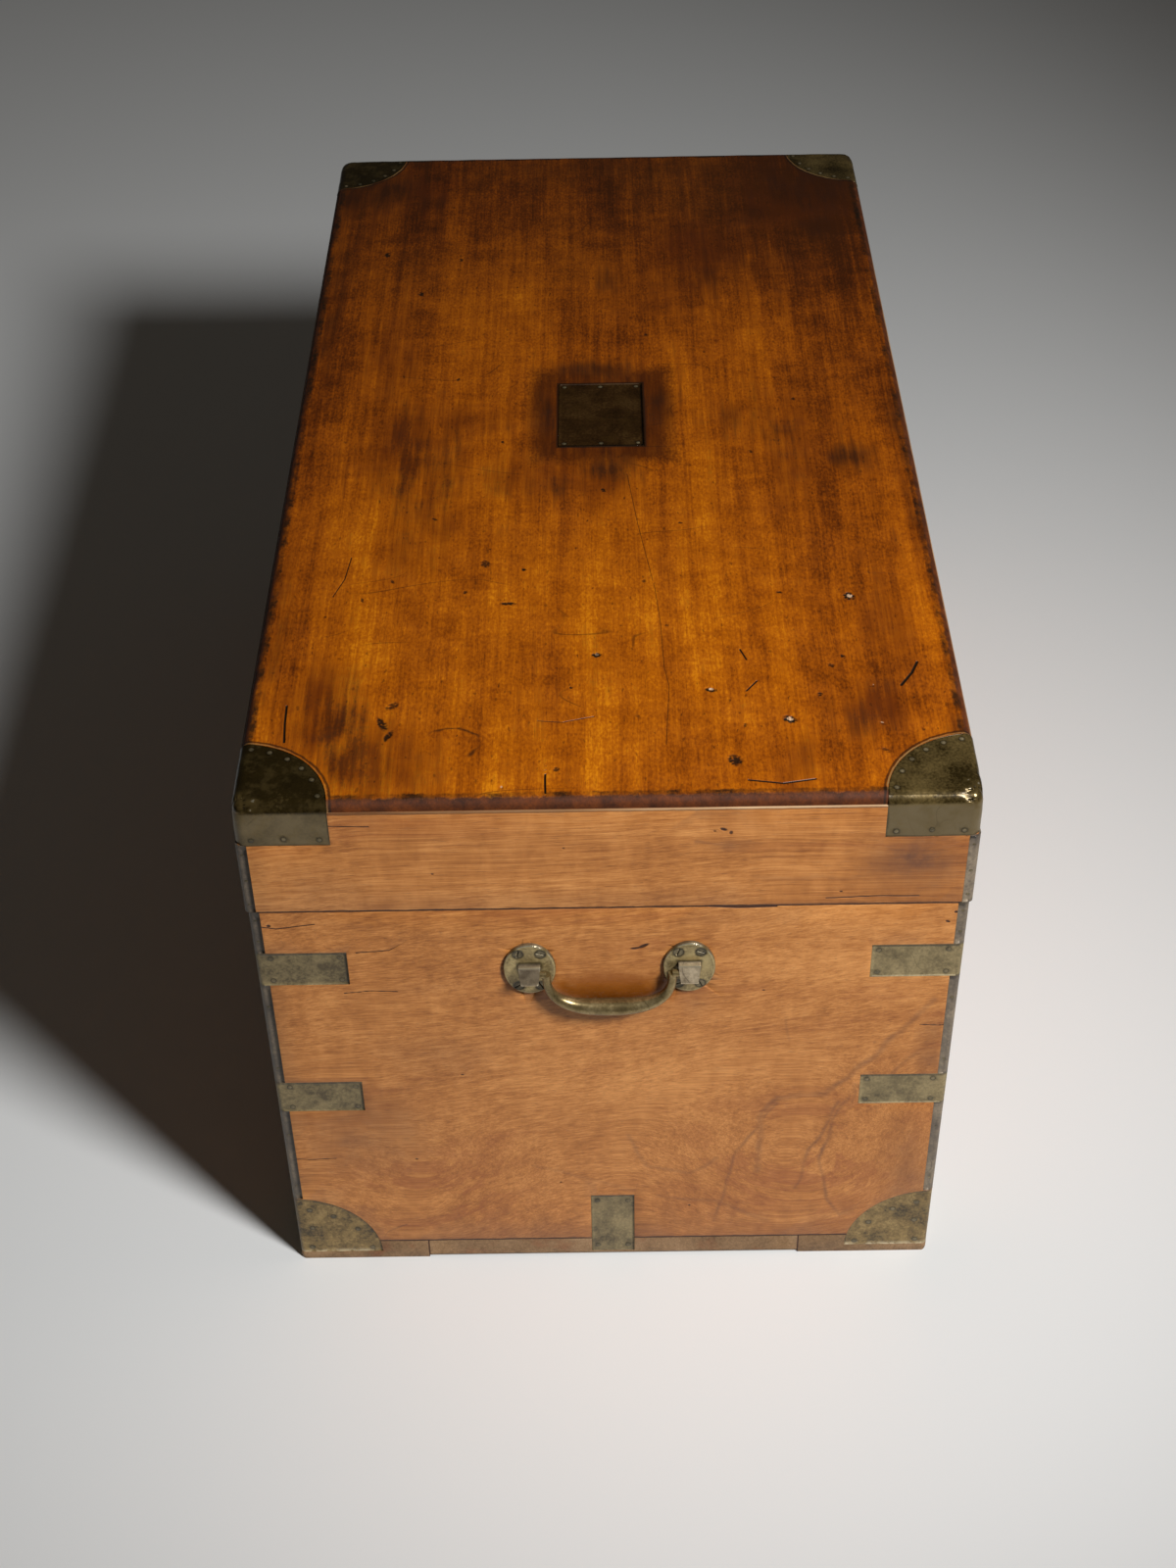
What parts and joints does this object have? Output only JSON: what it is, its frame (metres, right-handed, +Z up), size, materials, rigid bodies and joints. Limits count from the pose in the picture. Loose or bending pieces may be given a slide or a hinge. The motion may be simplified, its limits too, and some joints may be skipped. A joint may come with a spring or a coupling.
{
  "type": "campaign chest",
  "caption": "Rectangular wooden travelling chest with a hinged lid, let-in brass straps and corners, a lock and a swinging lift handle on each end.",
  "frame": {"origin": "on the floor under the middle of the case", "axes": "+X to the right along the chest seen from the lock side, -Y is the front with the lock, +Z up"},
  "size_m": [0.9982, 0.5132, 0.4825],
  "materials": {
    "lid_top_wood": "glossy aged shellac over camphor wood, dark stains",
    "case_wood": "satin aged camphor wood",
    "bottom_wood": "dry worn camphor wood",
    "lid_brass": "dark olive patina, polished on the folds",
    "edging_brass": "dull worn brass",
    "strap_brass": "dull olive-grey patina",
    "plate_brass": "dark patina",
    "handle_brass": "worn patina, bright on the edges",
    "hinge_brass": "dull brass",
    "lock_brass": "dull brass",
    "screw_brass": "dark brass"
  },
  "bodies": {
    "chest": {"back_board": "case_wood", "back_runner": "bottom_wood", "base_corner_back_left": "strap_brass", "base_corner_back_right": "strap_brass", "base_corner_front_left": "strap_brass", "base_corner_front_right": "strap_brass", "base_screws": "screw_brass", "bottom_board": "bottom_wood", "edge_strip_back_left": "edging_brass", "edge_strip_back_right": "edging_brass", "edge_strip_front_left": "edging_brass", "edge_strip_front_right": "edging_brass", "eye_left_back": "handle_brass", "eye_left_front": "handle_brass", "eye_right_back": "handle_brass", "eye_right_front": "handle_brass", "foot_strap_left": "strap_brass", "foot_strap_right": "strap_brass", "front_board": "case_wood", "front_runner": "bottom_wood", "handle_screws": "screw_brass", "hinge_body_leaf_left": "hinge_brass", "hinge_body_leaf_right": "hinge_brass", "hinge_pins": "hinge_brass", "key_escutcheon": "lock_brass", "left_end_board": "case_wood", "lock_cap": "lock_brass", "lock_case": "lock_brass", "lower_strap_back_left": "strap_brass", "lower_strap_back_right": "strap_brass", "lower_strap_front_left": "strap_brass", "lower_strap_front_right": "strap_brass", "right_end_board": "case_wood", "rose_left_back": "handle_brass", "rose_left_front": "handle_brass", "rose_right_back": "handle_brass", "rose_right_front": "handle_brass", "upper_strap_back_left": "strap_brass", "upper_strap_back_right": "strap_brass", "upper_strap_front_left": "strap_brass", "upper_strap_front_right": "strap_brass"},
    "lid": {"hinge_lid_leaf_left": "hinge_brass", "hinge_lid_leaf_right": "hinge_brass", "lid_back_rail": "case_wood", "lid_corner_back_left": "lid_brass", "lid_corner_back_right": "lid_brass", "lid_corner_front_left": "lid_brass", "lid_corner_front_right": "lid_brass", "lid_edge_strips": "edging_brass", "lid_front_rail": "case_wood", "lid_left_rail": "case_wood", "lid_right_rail": "case_wood", "lid_screws": "screw_brass", "lid_top_board": "lid_top_wood", "link_plate": "lock_brass", "name_plate": "plate_brass"},
    "left_bail": {"left_bail": "handle_brass"},
    "right_bail": {"right_bail": "handle_brass"},
    "lock_bolt": {"lock_bolt": "lock_brass"}
  },
  "joints": [
    {"name": "lid_hinge", "type": "hinge", "parent": "chest", "child": "lid", "pos_m": [0, 0.257, 0.38415], "axis": [-1, 0, 0], "range_deg": [0, 100]},
    {"name": "left_bail_swing", "type": "hinge", "parent": "chest", "child": "left_bail", "pos_m": [-0.4926, 0, 0.327], "axis": [0, 1, 0], "range_deg": [0, 180]},
    {"name": "right_bail_swing", "type": "hinge", "parent": "chest", "child": "right_bail", "pos_m": [0.4926, 0, 0.327], "axis": [0, -1, 0], "range_deg": [0, 180]},
    {"name": "lock_bolt_slide", "type": "slide", "parent": "chest", "child": "lock_bolt", "axis": [1, 0, 0], "range_m": [0, 0.007]}
  ]
}
